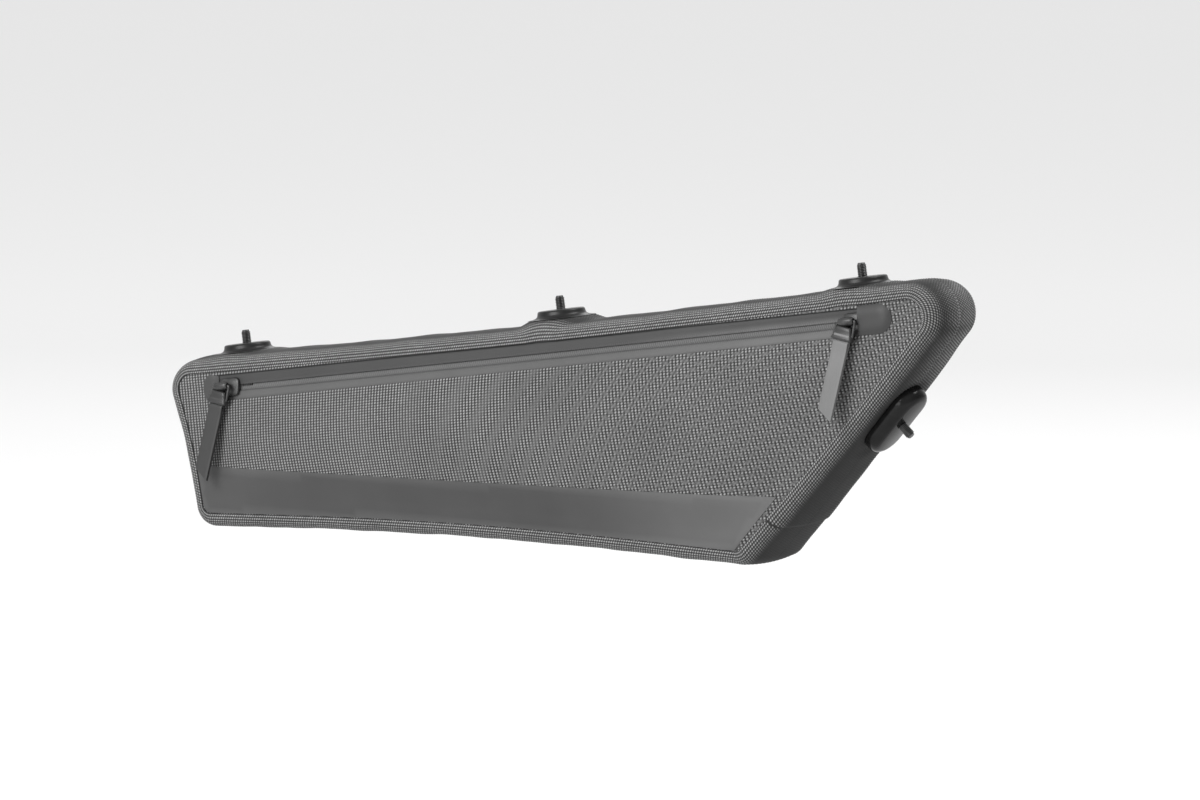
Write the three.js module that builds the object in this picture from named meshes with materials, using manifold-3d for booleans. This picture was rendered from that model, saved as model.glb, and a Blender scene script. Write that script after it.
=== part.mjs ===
// A frame bag that hangs under a bicycle's top tube: a zipped cloth shell on low bolted bosses.
// Millimetres, +Z up, +X towards the front of the bicycle. The zipped face looks along -Y.
// The origin is the centre of the middle boss's seat, on the bicycle's mid-plane.
import * as THREE from "three";
import { mergeVertices } from "three/addons/utils/BufferGeometryUtils.js";
import Module from "manifold-3d";

const wasm = await Module();
wasm.setup();

// Top edge: its slope, and how far the cloth lies below the plane of the boss seats
const TOP_SLOPE = THREE.MathUtils.degToRad(8.4);
const TOP_DROP = 5.8;

// Side outline, anticlockwise seen from the zipped face: the rounding of each corner, and the bow and
// the longest step of the edge that leaves it
const CORNERS = [
  { corner: "front_top", x: 263.4, z: topLine(263.4), radius: 16, bow: -2.4, step: 40 },
  { corner: "rear_top", x: -241.9, z: topLine(-241.9), radius: 15, bow: -1.5, step: 18 },
  { corner: "rear_bottom", x: -217, z: -126, radius: 12, bow: -4, step: 40 },
  { corner: "front_bottom", x: 130.5, z: -120, radius: 11, bow: 1.5, step: 30 },
];
const ARC_STEPS = 5;
const SMALLEST_RADIUS = 1.5;

// Width of the bag: half of it at the foot and at the top of the outline
const WIDTH = { footZ: -126, footHalf: 27.5, topZ: 31, topHalf: 21 };

// Cloth walls, and the gap between pieces that lie on each other
const GUSSET_WALL = 1.5;
const PANEL_WALL = 1;
const GAP = 0.3;

// Gusset section: rounded shoulders that turn onto the faces, and a crowned web between them
const SHOULDER = { inset: 5.5, depth: 8, steps: 3 };
const WEB = { crown: 1.2, rows: [-9, 0, 9] };

// Face panels: tucked under the shoulders, clear of the fall of their curve there. They bulge over a
// reach from the shoulders, with rings that far in, and the bulge falls off from its middle to the ends.
const PANEL_TUCK = 1.2;
const SHOULDER_FALL = 0.55;
const PANEL_SINK = GUSSET_WALL + SHOULDER_FALL + GAP;
const PANEL_EDGE = SHOULDER.inset - PANEL_TUCK;
const BULGE = { height: 12, reach: 55, rings: [0.4, 5, 13, 23, 35], middle: -10, half: 210, fall: 0.55 };

// Bosses on the top edge: low cones that the cloth rises to meet
const BOSS = { baseRadius: 13, seatRadius: 11.6, height: 4, chamfer: 0.7, sides: 24 };
const TOP_BOSSES = [
  { name: "rear", x: -203.4 },
  { name: "middle", x: 0 },
  { name: "front", x: 183.6 },
];
const TOP_PAD = { flat: 14, foot: 25, straight: 0, rise: TOP_DROP - BOSS.height - GAP };

// Oblong boss on the slanted front edge, placed along that edge from the front foot corner
const TUBE_BOSS = { along: 106, length: 42, width: 22, endSteps: 8 };
const TUBE_BOSS_LEVELS = [
  { height: 0, inset: 0 },
  { height: 5.2, inset: 0 },
  { height: 7.2, inset: 1 },
  { height: 8, inset: 3 },
];
const TUBE_PAD = { flat: 13, foot: 21, straight: 10, rise: 1.6 };

// Bolts through the bosses
const BOLT = { radius: 2.5, stand: 7, tip: 0.6, headRadius: 4.5, headHeight: 3, sides: 12 };
const BOLT_HOLE = { radius: 2.9, reach: 30 };

// Zip: its line below the top edge, the slot in the panel, the tapes and the coil behind it.
// Places along the zip count from the point below the origin.
const ZIP = { below: 15.9, slotHalf: 6.8, rear: -214.2, front: 213.6, slit: 0.6 };
const TAPE = { wall: 1, overlap: 2 };
const COIL = { wall: 1.4, half: 1.6, margin: 12 };

// Covers over the ends of the zip: the round end, the length, and the room left under each
const GARAGE = { half: 8, wall: 1, rim: 1.2, roundSteps: 8 };
const GARAGES = [
  { name: "rear", round: -216.3, length: 10.5, room: 0, side: -1 },
  { name: "front", round: 216.3, length: 18.7, room: 1.5, side: 1 },
];

// Sliders: a plate in the slot, shifted along the zip from a crown with a bore for the pull's wire
const SLIDER = { length: 13, height: 9.6, corner: 2.5, top: 1.1, axis: 4.2, shift: 2.5 };
const CROWN = { length: 7.2, radius: 2.2, bore: 1.15, sides: 12, root: 0.5 };
const SLIDERS = [
  { name: "rear", at: -201.1 },
  { name: "front", at: 192.5 },
];

// Pulls: a wire bail in the crown and a folded tab on it, hanging askew and a little off the panel
const PULL = { tilt: THREE.MathUtils.degToRad(10), skew: THREE.MathUtils.degToRad(17) };
const BAIL = { wire: 0.7, topHalf: 5.3, footHalf: 5.7, drop: 7.3, corner: 0.9, sides: 8 };
const TAB = { width: 9, length: 45, ply: 0.85, bore: 1.05, boreSides: 10, blend: 5, tipCut: 8 };
const TAB_FOLD = THREE.MathUtils.degToRad(50);

// Smooth band along the foot of the zipped face: its top edge, and its margins inside the outline
const BAND = { wall: 1, topAtOrigin: -87.8, slope: 0.028, margin: 7.4, slantMargin: 9.5 };

// Half length of the blocks that cut through the whole bag
const REACH = 300;

const FINISH = {
  cloth: { color: 0x5c5c5b, roughness: 0.85, metalness: 0 },
  coated: { color: 0x5f5f5e, roughness: 0.5, metalness: 0 },
  tape: { color: 0x4d4d4d, roughness: 0.55, metalness: 0 },
  metal: { color: 0x242424, roughness: 0.35, metalness: 0.6 },
  moulding: { color: 0x1b1b1b, roughness: 0.4, metalness: 0 },
};

function topLine(x) {
  return x * Math.tan(TOP_SLOPE) - TOP_DROP / Math.cos(TOP_SLOPE);
}

function halfWidth(z) {
  const share = (z - WIDTH.footZ) / (WIDTH.topZ - WIDTH.footZ);
  return THREE.MathUtils.lerp(WIDTH.footHalf, WIDTH.topHalf, share);
}

// Edges of the outline in the X-Z plane: start, direction and outward normal
const EDGES = CORNERS.map((corner, i) => {
  const next = CORNERS[(i + 1) % CORNERS.length];
  const start = new THREE.Vector2(corner.x, corner.z);
  const along = new THREE.Vector2(next.x, next.z).sub(start).normalize();
  return { start, along, out: new THREE.Vector2(along.y, -along.x) };
});
const [TOP_EDGE, , , SLANT_EDGE] = EDGES;

// Centre of a top boss's seat in the X-Z plane
function topSeat(boss) {
  return new THREE.Vector2(boss.x, boss.x * Math.tan(TOP_SLOPE));
}

// Places where the cloth rises to a flat pad under a boss
const PADS = TOP_BOSSES.map((boss) => {
  const at = topSeat(boss).sub(TOP_EDGE.start).dot(TOP_EDGE.along);
  return { ...TOP_PAD, edge: TOP_EDGE, at };
});
PADS.push({ ...TUBE_PAD, edge: SLANT_EDGE, at: TUBE_BOSS.along });

// Shares of an edge at which the outline has points: the pads' own places, then even steps between
function edgeShares(edge, from, to, step, pads) {
  const places = [from, to];
  for (const pad of pads.filter((p) => p.edge === edge)) {
    places.push(pad.at);
    for (const reach of [pad.flat, (pad.flat + pad.foot) / 2, pad.foot]) {
      places.push(pad.at - pad.straight - reach, pad.at + pad.straight + reach);
    }
  }
  const kept = places.filter((p) => p >= from && p <= to).sort((a, b) => a - b);
  const shares = [];
  for (let i = 0; i + 1 < kept.length; i++) {
    const count = Math.ceil((kept[i + 1] - kept[i]) / step);
    for (let k = i > 0 ? 0 : 1; k < count; k++) {
      const place = kept[i] + ((kept[i + 1] - kept[i]) * k) / count;
      shares.push((place - from) / (to - from));
    }
  }
  return shares;
}

// Centre and radius of the rounding of a corner once the outline has moved in by inset
function cornerRound(i, inset) {
  const before = EDGES[(i + EDGES.length - 1) % EDGES.length].out;
  const after = EDGES[i].out;
  const radius = Math.max(CORNERS[i].radius - inset, SMALLEST_RADIUS);
  const inward = (inset + radius) / (1 + before.dot(after));
  const centre = EDGES[i].start.clone().addScaledVector(before, -inward).addScaledVector(after, -inward);
  return { centre, radius, before, after };
}

// Points of the outline moved in by inset, each with its outward normal and the bow of its edge there
function outline(inset, pads = []) {
  const points = [];
  CORNERS.forEach((corner, i) => {
    const round = cornerRound(i, inset);
    const first = round.before.angle();
    const turn = THREE.MathUtils.euclideanModulo(round.after.angle() - first, 2 * Math.PI);
    for (let k = 0; k <= ARC_STEPS; k++) {
      const angle = first + (turn * k) / ARC_STEPS;
      const out = new THREE.Vector2(Math.cos(angle), Math.sin(angle));
      points.push({ at: round.centre.clone().addScaledVector(out, round.radius), out, bow: 0 });
    }
    const edge = EDGES[i];
    const ends = [i, (i + 1) % CORNERS.length];
    const [from, to] = ends.map((k) => placeOnEdge(edge, cornerRound(k, inset).centre));
    const [outerFrom, outerTo] = ends.map((k) => placeOnEdge(edge, cornerRound(k, 0).centre));
    for (const share of edgeShares(edge, outerFrom, outerTo, corner.step, pads)) {
      const bow = corner.bow * Math.sin(Math.PI * share);
      const at = edge.start.clone().addScaledVector(edge.along, THREE.MathUtils.lerp(from, to, share));
      points.push({ at: at.addScaledVector(edge.out, bow - inset), out: edge.out, bow });
    }
  });
  return points;
}

function placeOnEdge(edge, point) {
  return point.clone().sub(edge.start).dot(edge.along);
}

// How far in from the shoulders a point of a face lies, and how far the face bulges there
function insetOf(point) {
  return Math.min(...EDGES.map((edge) => -point.clone().sub(edge.start).dot(edge.out)));
}

function bulgeAt(inset, x) {
  const share = THREE.MathUtils.clamp((inset - SHOULDER.inset) / BULGE.reach, 0, 1);
  const kept = 1 - BULGE.fall * ((x - BULGE.middle) / BULGE.half) ** 2;
  return BULGE.height * kept * (1 - (1 - share) ** 2);
}

// Y of the zipped face's outer surface
function faceY(point) {
  return PANEL_SINK - halfWidth(point.y) - bulgeAt(insetOf(point), point.x);
}

// Closed solid from a mesh's points and triangles
function solidFrom(points, triangles) {
  return new wasm.Manifold(
    new wasm.Mesh({
      numProp: 3,
      vertProperties: new Float32Array(points.flat()),
      triVerts: new Uint32Array(triangles.flat()),
    }),
  );
}

function solidOf(geometry) {
  const plain = geometry.clone();
  plain.deleteAttribute("normal");
  plain.deleteAttribute("uv");
  const merged = mergeVertices(plain, 1e-4);
  return new wasm.Manifold(
    new wasm.Mesh({
      numProp: 3,
      vertProperties: merged.attributes.position.array,
      triVerts: new Uint32Array(merged.index.array),
    }),
  );
}

function geometryOf(solid) {
  const mesh = solid.getMesh();
  return new THREE.BufferGeometry()
    .setAttribute("position", new THREE.BufferAttribute(mesh.vertProperties, 3))
    .setIndex(new THREE.BufferAttribute(mesh.triVerts, 1));
}

// Solid ring: loops of points, each joined to the next and the last to the first
function ringSolid(loops) {
  const sides = loops[0].length;
  const triangles = [];
  for (let i = 0; i < loops.length; i++) {
    for (let j = 0; j < sides; j++) {
      const [i1, j1] = [(i + 1) % loops.length, (j + 1) % sides];
      const [a, b, c, d] = [i * sides + j, i1 * sides + j, i1 * sides + j1, i * sides + j1];
      triangles.push([a, b, c], [a, c, d]);
    }
  }
  return solidFrom(loops.flat(), triangles);
}

// Solid between flat end faces: loops of points from the first end to the last
function stackSolid(loops) {
  const sides = loops[0].length;
  const last = (loops.length - 1) * sides;
  const cap = THREE.ShapeUtils.triangulateShape(loops[0].map(([x, y]) => new THREE.Vector2(x, y)), []);
  const triangles = cap.map(([a, b, c]) => [c, b, a]);
  triangles.push(...cap.map((corners) => corners.map((k) => k + last)));
  for (let i = 0; i < last; i += sides) {
    for (let j = 0; j < sides; j++) {
      const next = (j + 1) % sides;
      triangles.push([i + j, i + next, i + sides + next], [i + j, i + sides + next, i + sides + j]);
    }
  }
  return solidFrom(loops.flat(), triangles);
}

// Block with an outline in the X-Z plane that runs through the bag along Y
function prism(points) {
  const geometry = new THREE.ExtrudeGeometry(new THREE.Shape(points), {
    depth: 2 * REACH,
    bevelEnabled: false,
  });
  return solidOf(geometry.rotateX(Math.PI / 2).translate(0, REACH, 0));
}

// Sheet that follows a face's bulge: sunk below the face's outer surface, or proud of it, with a wall
function faceSheet(side, edgeInset, sunk, wall) {
  const rises = BULGE.rings.map((ring) => SHOULDER.inset + ring);
  const insets = [edgeInset, ...rises.filter((inset) => inset > edgeInset)];
  const rings = insets.map((inset) =>
    outline(inset).map(({ at }) => {
      const y = PANEL_SINK + sunk - halfWidth(at.y) - bulgeAt(inset, at.x);
      return { at, y };
    }),
  );
  const sides = rings[0].length;
  const layer = rings.length * sides;
  const near = rings.flat().map(({ at, y }) => [at.x, side * y, at.y]);
  const far = rings.flat().map(({ at, y }) => [at.x, side * (y + wall), at.y]);
  const skin = [];
  for (let k = 0; k + 1 < rings.length; k++) {
    for (let j = 0; j < sides; j++) {
      const [a, b] = [k * sides + j, k * sides + ((j + 1) % sides)];
      skin.push([a, b, b + sides], [a, b + sides, a + sides]);
    }
  }
  const inner = rings[rings.length - 1].map(({ at }) => at);
  const middle = THREE.ShapeUtils.triangulateShape(inner, []);
  skin.push(...middle.map((corners) => corners.map((k) => k + layer - sides)));
  const triangles = [...skin, ...skin.map(([a, b, c]) => [c + layer, b + layer, a + layer])];
  for (let j = 0; j < sides; j++) {
    const next = (j + 1) % sides;
    triangles.push([j, j + layer, next + layer], [j, next + layer, next]);
  }
  const facing = side > 0 ? triangles : triangles.map(([a, b, c]) => [c, b, a]);
  return solidFrom([...near, ...far], facing);
}

// Directions and places of the zip in the X-Z plane
const ZIP_ALONG = new THREE.Vector2(Math.cos(TOP_SLOPE), Math.sin(TOP_SLOPE));
const ZIP_UP = new THREE.Vector2(-Math.sin(TOP_SLOPE), Math.cos(TOP_SLOPE));
const ZIP_START = new THREE.Vector2(0, -(TOP_DROP + ZIP.below) / Math.cos(TOP_SLOPE));

function zipPlace(along, up) {
  return ZIP_START.clone().addScaledVector(ZIP_ALONG, along).addScaledVector(ZIP_UP, up);
}

function zipRectangle(rear, front, low, high) {
  const corners = [[rear, low], [front, low], [front, high], [rear, high]];
  return corners.map(([along, up]) => zipPlace(along, up));
}

// Outline along the zip with one round end: side 1 rounds the front end and -1 the rear end
function zipTongue(round, length, half, side) {
  const square = round - side * length;
  const points = [zipPlace(square, side * half), zipPlace(square, -side * half)];
  for (let k = 0; k <= GARAGE.roundSteps; k++) {
    const angle = -Math.PI / 2 + (Math.PI * k) / GARAGE.roundSteps;
    const along = round - side * half + side * half * Math.cos(angle);
    points.push(zipPlace(along, side * half * Math.sin(angle)));
  }
  return points;
}

// Point of the cloth at a place of the outline, raised where it meets a pad
function clothPoint(place, inset, y, crown) {
  const moved = place.at.clone().addScaledVector(place.out, -inset);
  let raised = 0;
  for (const pad of PADS) {
    const offset = place.at.clone().sub(pad.edge.start);
    const along = Math.max(Math.abs(offset.dot(pad.edge.along) - pad.at) - pad.straight, 0);
    const across = offset.dot(pad.edge.out) - place.bow;
    const share = 1 - THREE.MathUtils.smoothstep(Math.hypot(along, across, y), pad.flat, pad.foot);
    moved.addScaledVector(pad.edge.out, share * (pad.rise - place.bow));
    raised = Math.max(raised, share);
  }
  moved.addScaledVector(place.out, crown * (1 - raised));
  return [moved.x, y, moved.y];
}

// Shoulder of the gusset at a place of the outline, from its lip on the zipped face to the web
function shoulderPoints(place, wall) {
  return Array.from({ length: SHOULDER.steps + 1 }, (_, k) => {
    const angle = (Math.PI / 2) * (k / SHOULDER.steps);
    const inset = SHOULDER.inset - (SHOULDER.inset - wall) * Math.sin(angle);
    const depth = SHOULDER.depth - (SHOULDER.depth - wall) * Math.cos(angle);
    return { inset, y: depth - halfWidth(place.at.y - inset * place.out.y), crown: 0 };
  });
}

// One skin of the gusset's section, from lip to lip
function gussetSkin(place, wall) {
  const zipSide = shoulderPoints(place, wall);
  const webHalf = halfWidth(place.at.y) - SHOULDER.depth;
  const web = WEB.rows.map((y) => ({ inset: wall, y, crown: WEB.crown * (1 - (y / webHalf) ** 2) }));
  const farSide = zipSide.map((point) => ({ ...point, y: -point.y })).reverse();
  return [...zipSide, ...web, ...farSide];
}

function gusset() {
  const loops = outline(0, PADS).map((place) => {
    const outer = gussetSkin(place, 0).reverse();
    const inner = gussetSkin(place, GUSSET_WALL);
    return [...inner, ...outer].map(({ inset, y, crown }) => clothPoint(place, inset, y, crown));
  });
  let solid = ringSolid(loops);
  for (const seat of seats()) {
    const hole = new THREE.CylinderGeometry(
      BOLT_HOLE.radius, BOLT_HOLE.radius, BOLT_HOLE.reach, BOLT.sides,
    );
    solid = solid.subtract(solidOf(hole.rotateX(Math.PI / 2).applyMatrix4(seat.frame)));
  }
  return solid;
}

// Frames of the boss seats, their own Z pointing out of the bag, with the depth down to the cloth
function seats() {
  const tops = TOP_BOSSES.map((boss) => {
    const { x, y } = topSeat(boss);
    const frame = seatFrame(new THREE.Vector3(x, 0, y), TOP_EDGE);
    return { name: `top_boss_${boss.name}`, bolt: `bolt_${boss.name}`, frame, deep: BOSS.height };
  });
  const deep = TUBE_BOSS_LEVELS[TUBE_BOSS_LEVELS.length - 1].height;
  const seat = SLANT_EDGE.start.clone().addScaledVector(SLANT_EDGE.along, TUBE_BOSS.along);
  seat.addScaledVector(SLANT_EDGE.out, TUBE_PAD.rise + GAP + deep);
  const frame = seatFrame(new THREE.Vector3(seat.x, 0, seat.y), SLANT_EDGE);
  return [...tops, { name: "down_tube_boss", bolt: "bolt_down_tube", frame, deep }];
}

function seatFrame(origin, edge) {
  const along = new THREE.Vector3(edge.along.x, 0, edge.along.y);
  const out = new THREE.Vector3(edge.out.x, 0, edge.out.y);
  const across = new THREE.Vector3().crossVectors(out, along);
  return new THREE.Matrix4().makeBasis(along, across, out).setPosition(origin);
}

// Solid of revolution about its own Z, from a closed profile of radius and height
function turned(profile, sides) {
  const points = profile.map(([radius, height]) => new THREE.Vector2(radius, height));
  return solidOf(new THREE.LatheGeometry(points, sides).rotateX(Math.PI / 2));
}

function topBoss() {
  const profile = [
    [BOLT_HOLE.radius, -BOSS.height],
    [BOSS.baseRadius, -BOSS.height],
    [BOSS.seatRadius + BOSS.chamfer, -BOSS.chamfer],
    [BOSS.seatRadius, 0],
    [BOLT_HOLE.radius, 0],
    [BOLT_HOLE.radius, -BOSS.height],
  ];
  return turned(profile, BOSS.sides);
}

// Oblong loop at one level of the tube boss, running along X
function oblong(inset, height) {
  const radius = TUBE_BOSS.width / 2 - inset;
  const straight = (TUBE_BOSS.length - TUBE_BOSS.width) / 2;
  const points = [];
  for (const end of [1, -1]) {
    for (let k = 0; k <= TUBE_BOSS.endSteps; k++) {
      const angle = (Math.PI * k) / TUBE_BOSS.endSteps - (end * Math.PI) / 2;
      points.push([end * straight + radius * Math.cos(angle), radius * Math.sin(angle), height]);
    }
  }
  return points;
}

function tubeBoss() {
  const deep = TUBE_BOSS_LEVELS[TUBE_BOSS_LEVELS.length - 1].height;
  const block = stackSolid(TUBE_BOSS_LEVELS.map(({ height, inset }) => oblong(inset, height - deep)));
  const hole = new THREE.CylinderGeometry(
    BOLT_HOLE.radius, BOLT_HOLE.radius, BOLT_HOLE.reach, BOSS.sides,
  );
  return block.subtract(solidOf(hole.rotateX(Math.PI / 2)));
}

// Bolt whose head lies under the cloth and whose shank stands out of the seat
function bolt(deep) {
  const headTop = -(deep + GUSSET_WALL + 2 * GAP);
  const profile = [
    [0, headTop - BOLT.headHeight],
    [BOLT.headRadius, headTop - BOLT.headHeight],
    [BOLT.headRadius, headTop],
    [BOLT.radius, headTop],
    [BOLT.radius, BOLT.stand - BOLT.tip],
    [BOLT.radius - BOLT.tip, BOLT.stand],
    [0, BOLT.stand],
  ];
  return turned(profile, BOLT.sides);
}

function frontPanel() {
  const slot = prism(zipTongue(ZIP.front, ZIP.front, ZIP.slotHalf, 1)).add(
    prism(zipTongue(ZIP.rear, -ZIP.rear, ZIP.slotHalf, -1)),
  );
  return faceSheet(1, PANEL_EDGE, 0, PANEL_WALL).subtract(slot);
}

function backPanel() {
  return faceSheet(-1, PANEL_EDGE, 0, PANEL_WALL);
}

function zipTape(low, high) {
  const sheet = faceSheet(1, PANEL_EDGE, PANEL_WALL + GAP, TAPE.wall);
  return sheet.intersect(prism(zipRectangle(ZIP.rear, ZIP.front, low, high)));
}

function zipCoil() {
  const sunk = PANEL_WALL + GAP + TAPE.wall + GAP;
  const sheet = faceSheet(1, PANEL_EDGE, sunk, COIL.wall);
  const [rear, front] = [ZIP.rear + COIL.margin, ZIP.front - COIL.margin];
  return sheet.intersect(prism(zipRectangle(rear, front, -COIL.half, COIL.half)));
}

// Cover with a rim round its closed end, open towards the slider where it leaves room for it
function zipGarage({ round, length, room, side }) {
  const stand = Math.max(room, GAP);
  const whole = faceSheet(1, PANEL_EDGE, -(GARAGE.wall + stand), GARAGE.wall + stand - GAP);
  const cover = whole.intersect(prism(zipTongue(round, length, GARAGE.half, side)));
  if (room === 0) {
    return cover;
  }
  const under = faceSheet(1, PANEL_EDGE, -stand, stand);
  const inner = zipTongue(round - side * GARAGE.rim, length, GARAGE.half - GARAGE.rim, side);
  return cover.subtract(under.intersect(prism(inner)));
}

// Frame of a slider on the face: X along the zip, Y up the face, Z out of it
function sliderFrame(at) {
  const place = zipPlace(at, 0);
  const rise = (faceY(zipPlace(at, 1)) - faceY(zipPlace(at, -1))) / 2;
  const along = new THREE.Vector3(ZIP_ALONG.x, 0, ZIP_ALONG.y);
  const up = new THREE.Vector3(ZIP_UP.x, rise, ZIP_UP.y).normalize();
  const out = new THREE.Vector3().crossVectors(along, up);
  return new THREE.Matrix4().makeBasis(along, up, out).setPosition(place.x, faceY(place), place.y);
}

// Frame of a pull: X along its hinge in the crown, Y up the tab, Z out of the tab
function pullFrame(at) {
  const origin = new THREE.Vector3(0, 0, SLIDER.axis).applyMatrix4(sliderFrame(at));
  const along = new THREE.Vector3(ZIP_ALONG.x, 0, ZIP_ALONG.y);
  const [sin, cos] = [Math.sin(PULL.tilt), Math.cos(PULL.tilt)];
  const up = new THREE.Vector3(cos * ZIP_UP.x, sin, cos * ZIP_UP.y);
  const out = new THREE.Vector3().crossVectors(along, up);
  return new THREE.Matrix4().makeBasis(along, up, out).setPosition(origin);
}

function slider() {
  const [x, y, r] = [SLIDER.length / 2, SLIDER.height / 2, SLIDER.corner];
  const outlineShape = new THREE.Shape()
    .moveTo(x - r, -y)
    .absarc(x - r, r - y, r, -Math.PI / 2, 0)
    .absarc(x - r, y - r, r, 0, Math.PI / 2)
    .absarc(r - x, y - r, r, Math.PI / 2, Math.PI)
    .absarc(r - x, r - y, r, Math.PI, 1.5 * Math.PI);
  const bottom = -PANEL_WALL;
  const plate = new THREE.ExtrudeGeometry(outlineShape, {
    depth: SLIDER.top - bottom,
    bevelEnabled: false,
    curveSegments: 3,
  }).translate(SLIDER.shift, 0, bottom);
  const section = new THREE.Shape()
    .moveTo(-CROWN.radius, SLIDER.top - CROWN.root)
    .lineTo(CROWN.radius, SLIDER.top - CROWN.root)
    .absarc(0, SLIDER.axis, CROWN.radius, 0, Math.PI);
  section.holes.push(new THREE.Path().absarc(0, SLIDER.axis, CROWN.bore, 0, 2 * Math.PI));
  const crown = new THREE.ExtrudeGeometry(section, {
    depth: CROWN.length,
    bevelEnabled: false,
    curveSegments: CROWN.sides,
  }).translate(0, 0, -CROWN.length / 2);
  return solidOf(plate).add(solidOf(turnAxes(crown, [0, 1, 0], [0, 0, 1], [1, 0, 0])));
}

// Turns a geometry so that its X, Y and Z lie along the given directions
function turnAxes(geometry, ...axes) {
  const [x, y, z] = axes.map((axis) => new THREE.Vector3(...axis));
  return geometry.applyMatrix4(new THREE.Matrix4().makeBasis(x, y, z));
}

// Middle of the bail's lower bar, where the tab hangs
function bailFoot() {
  return new THREE.Vector2(-BAIL.drop * Math.sin(PULL.skew), -BAIL.drop * Math.cos(PULL.skew));
}

// Bail: a closed wire loop with cut corners, its lower bar square to the tab
function bail() {
  const lower = new THREE.Vector2(Math.cos(PULL.skew), -Math.sin(PULL.skew)).multiplyScalar(BAIL.footHalf);
  const corners = [
    new THREE.Vector2(BAIL.topHalf, 0),
    new THREE.Vector2(-BAIL.topHalf, 0),
    bailFoot().sub(lower),
    bailFoot().add(lower),
  ];
  const path = corners.flatMap((corner, i) => {
    const neighbours = [corners[(i + 3) % 4], corners[(i + 1) % 4]];
    return neighbours.map((other) =>
      corner.clone().addScaledVector(other.clone().sub(corner).normalize(), BAIL.corner),
    );
  });
  const loops = path.map((point, i) => {
    const before = point.clone().sub(path[(i + path.length - 1) % path.length]).normalize();
    const after = path[(i + 1) % path.length].clone().sub(point).normalize();
    const run = before.add(after).normalize();
    return Array.from({ length: BAIL.sides }, (_, k) => {
      const angle = (2 * Math.PI * k) / BAIL.sides;
      const side = BAIL.wire * Math.cos(angle);
      return [point.x + side * run.y, point.y - side * run.x, BAIL.wire * Math.sin(angle)];
    });
  });
  return ringSolid(loops);
}

// Tab: a strip folded round the bail's lower bar, its two plies running down to a slanted tip
function tab() {
  const radius = TAB.bore + TAB.ply;
  const section = new THREE.Shape()
    .moveTo(-TAB.ply, -TAB.length)
    .lineTo(TAB.ply, -TAB.length)
    .lineTo(TAB.ply, -TAB.blend)
    .absarc(0, 0, radius, -TAB_FOLD, Math.PI + TAB_FOLD)
    .lineTo(-TAB.ply, -TAB.blend);
  section.holes.push(new THREE.Path().absarc(0, 0, TAB.bore, 0, 2 * Math.PI));
  const strip = new THREE.ExtrudeGeometry(section, {
    depth: TAB.width,
    bevelEnabled: false,
    curveSegments: TAB.boreSides,
  }).translate(0, 0, -TAB.width / 2);
  const cut = new THREE.Shape()
    .moveTo(-TAB.width, -TAB.length + 2 * TAB.tipCut)
    .lineTo(-TAB.width, -TAB.length - TAB.tipCut)
    .lineTo(TAB.width / 2, -TAB.length - TAB.tipCut)
    .lineTo(TAB.width / 2, -TAB.length)
    .lineTo(-TAB.width / 2, -TAB.length + TAB.tipCut);
  const wedge = new THREE.ExtrudeGeometry(cut, { depth: 4 * radius, bevelEnabled: false });
  const flat = turnAxes(strip, [0, 0, -1], [0, 1, 0], [1, 0, 0]);
  return solidOf(flat).subtract(solidOf(wedge.translate(0, 0, -2 * radius)));
}

// Band: part of the face below a straight top edge, with a wider margin along the slanted edge
function baseBand() {
  const bandTop = (x) => BAND.topAtOrigin + BAND.slope * x;
  const slant = SLANT_EDGE.start.clone().addScaledVector(SLANT_EDGE.out, -BAND.slantMargin);
  const [low, high] = [-1, 1].map((way) => slant.clone().addScaledVector(SLANT_EDGE.along, way * REACH));
  const field = prism([
    new THREE.Vector2(-REACH, bandTop(-REACH)),
    new THREE.Vector2(-REACH, -REACH),
    new THREE.Vector2(REACH, -REACH),
    new THREE.Vector2(REACH, bandTop(REACH)),
  ]);
  const inside = prism([high, new THREE.Vector2(-REACH, high.y), new THREE.Vector2(-REACH, low.y), low]);
  const sheet = faceSheet(1, BAND.margin, -(BAND.wall + GAP), BAND.wall);
  return sheet.intersect(field).intersect(inside);
}

const bag = new THREE.Group();

function addPiece(name, solid, finish, frame = new THREE.Matrix4()) {
  const mesh = new THREE.Mesh(geometryOf(solid), new THREE.MeshStandardMaterial(FINISH[finish]));
  mesh.name = name;
  mesh.applyMatrix4(frame);
  bag.add(mesh);
}

addPiece("gusset", gusset(), "cloth");
addPiece("front_panel", frontPanel(), "cloth");
addPiece("back_panel", backPanel(), "cloth");
addPiece("base_band", baseBand(), "coated");
addPiece("zip_tape_upper", zipTape(ZIP.slit / 2, ZIP.slotHalf + TAPE.overlap), "tape");
addPiece("zip_tape_lower", zipTape(-ZIP.slotHalf - TAPE.overlap, -ZIP.slit / 2), "tape");
addPiece("zip_coil", zipCoil(), "tape");
for (const garage of GARAGES) {
  addPiece(`zip_garage_${garage.name}`, zipGarage(garage), "coated");
}
for (const { name, at } of SLIDERS) {
  const tabFrame = new THREE.Matrix4().makeRotationZ(-PULL.skew).setPosition(bailFoot().x, bailFoot().y, 0);
  addPiece(`slider_${name}`, slider(), "metal", sliderFrame(at));
  addPiece(`pull_bail_${name}`, bail(), "metal", pullFrame(at));
  addPiece(`pull_tab_${name}`, tab(), "coated", pullFrame(at).multiply(tabFrame));
}
for (const seat of seats()) {
  const boss = seat.name === "down_tube_boss" ? tubeBoss() : topBoss();
  addPiece(seat.name, boss, "moulding", seat.frame);
  addPiece(seat.bolt, bolt(seat.deep), "metal", seat.frame);
}

export default bag;
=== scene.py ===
import math

import bpy
import numpy as np
from mathutils import Matrix, Vector
from mathutils.geometry import delaunay_2d_cdt


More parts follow.
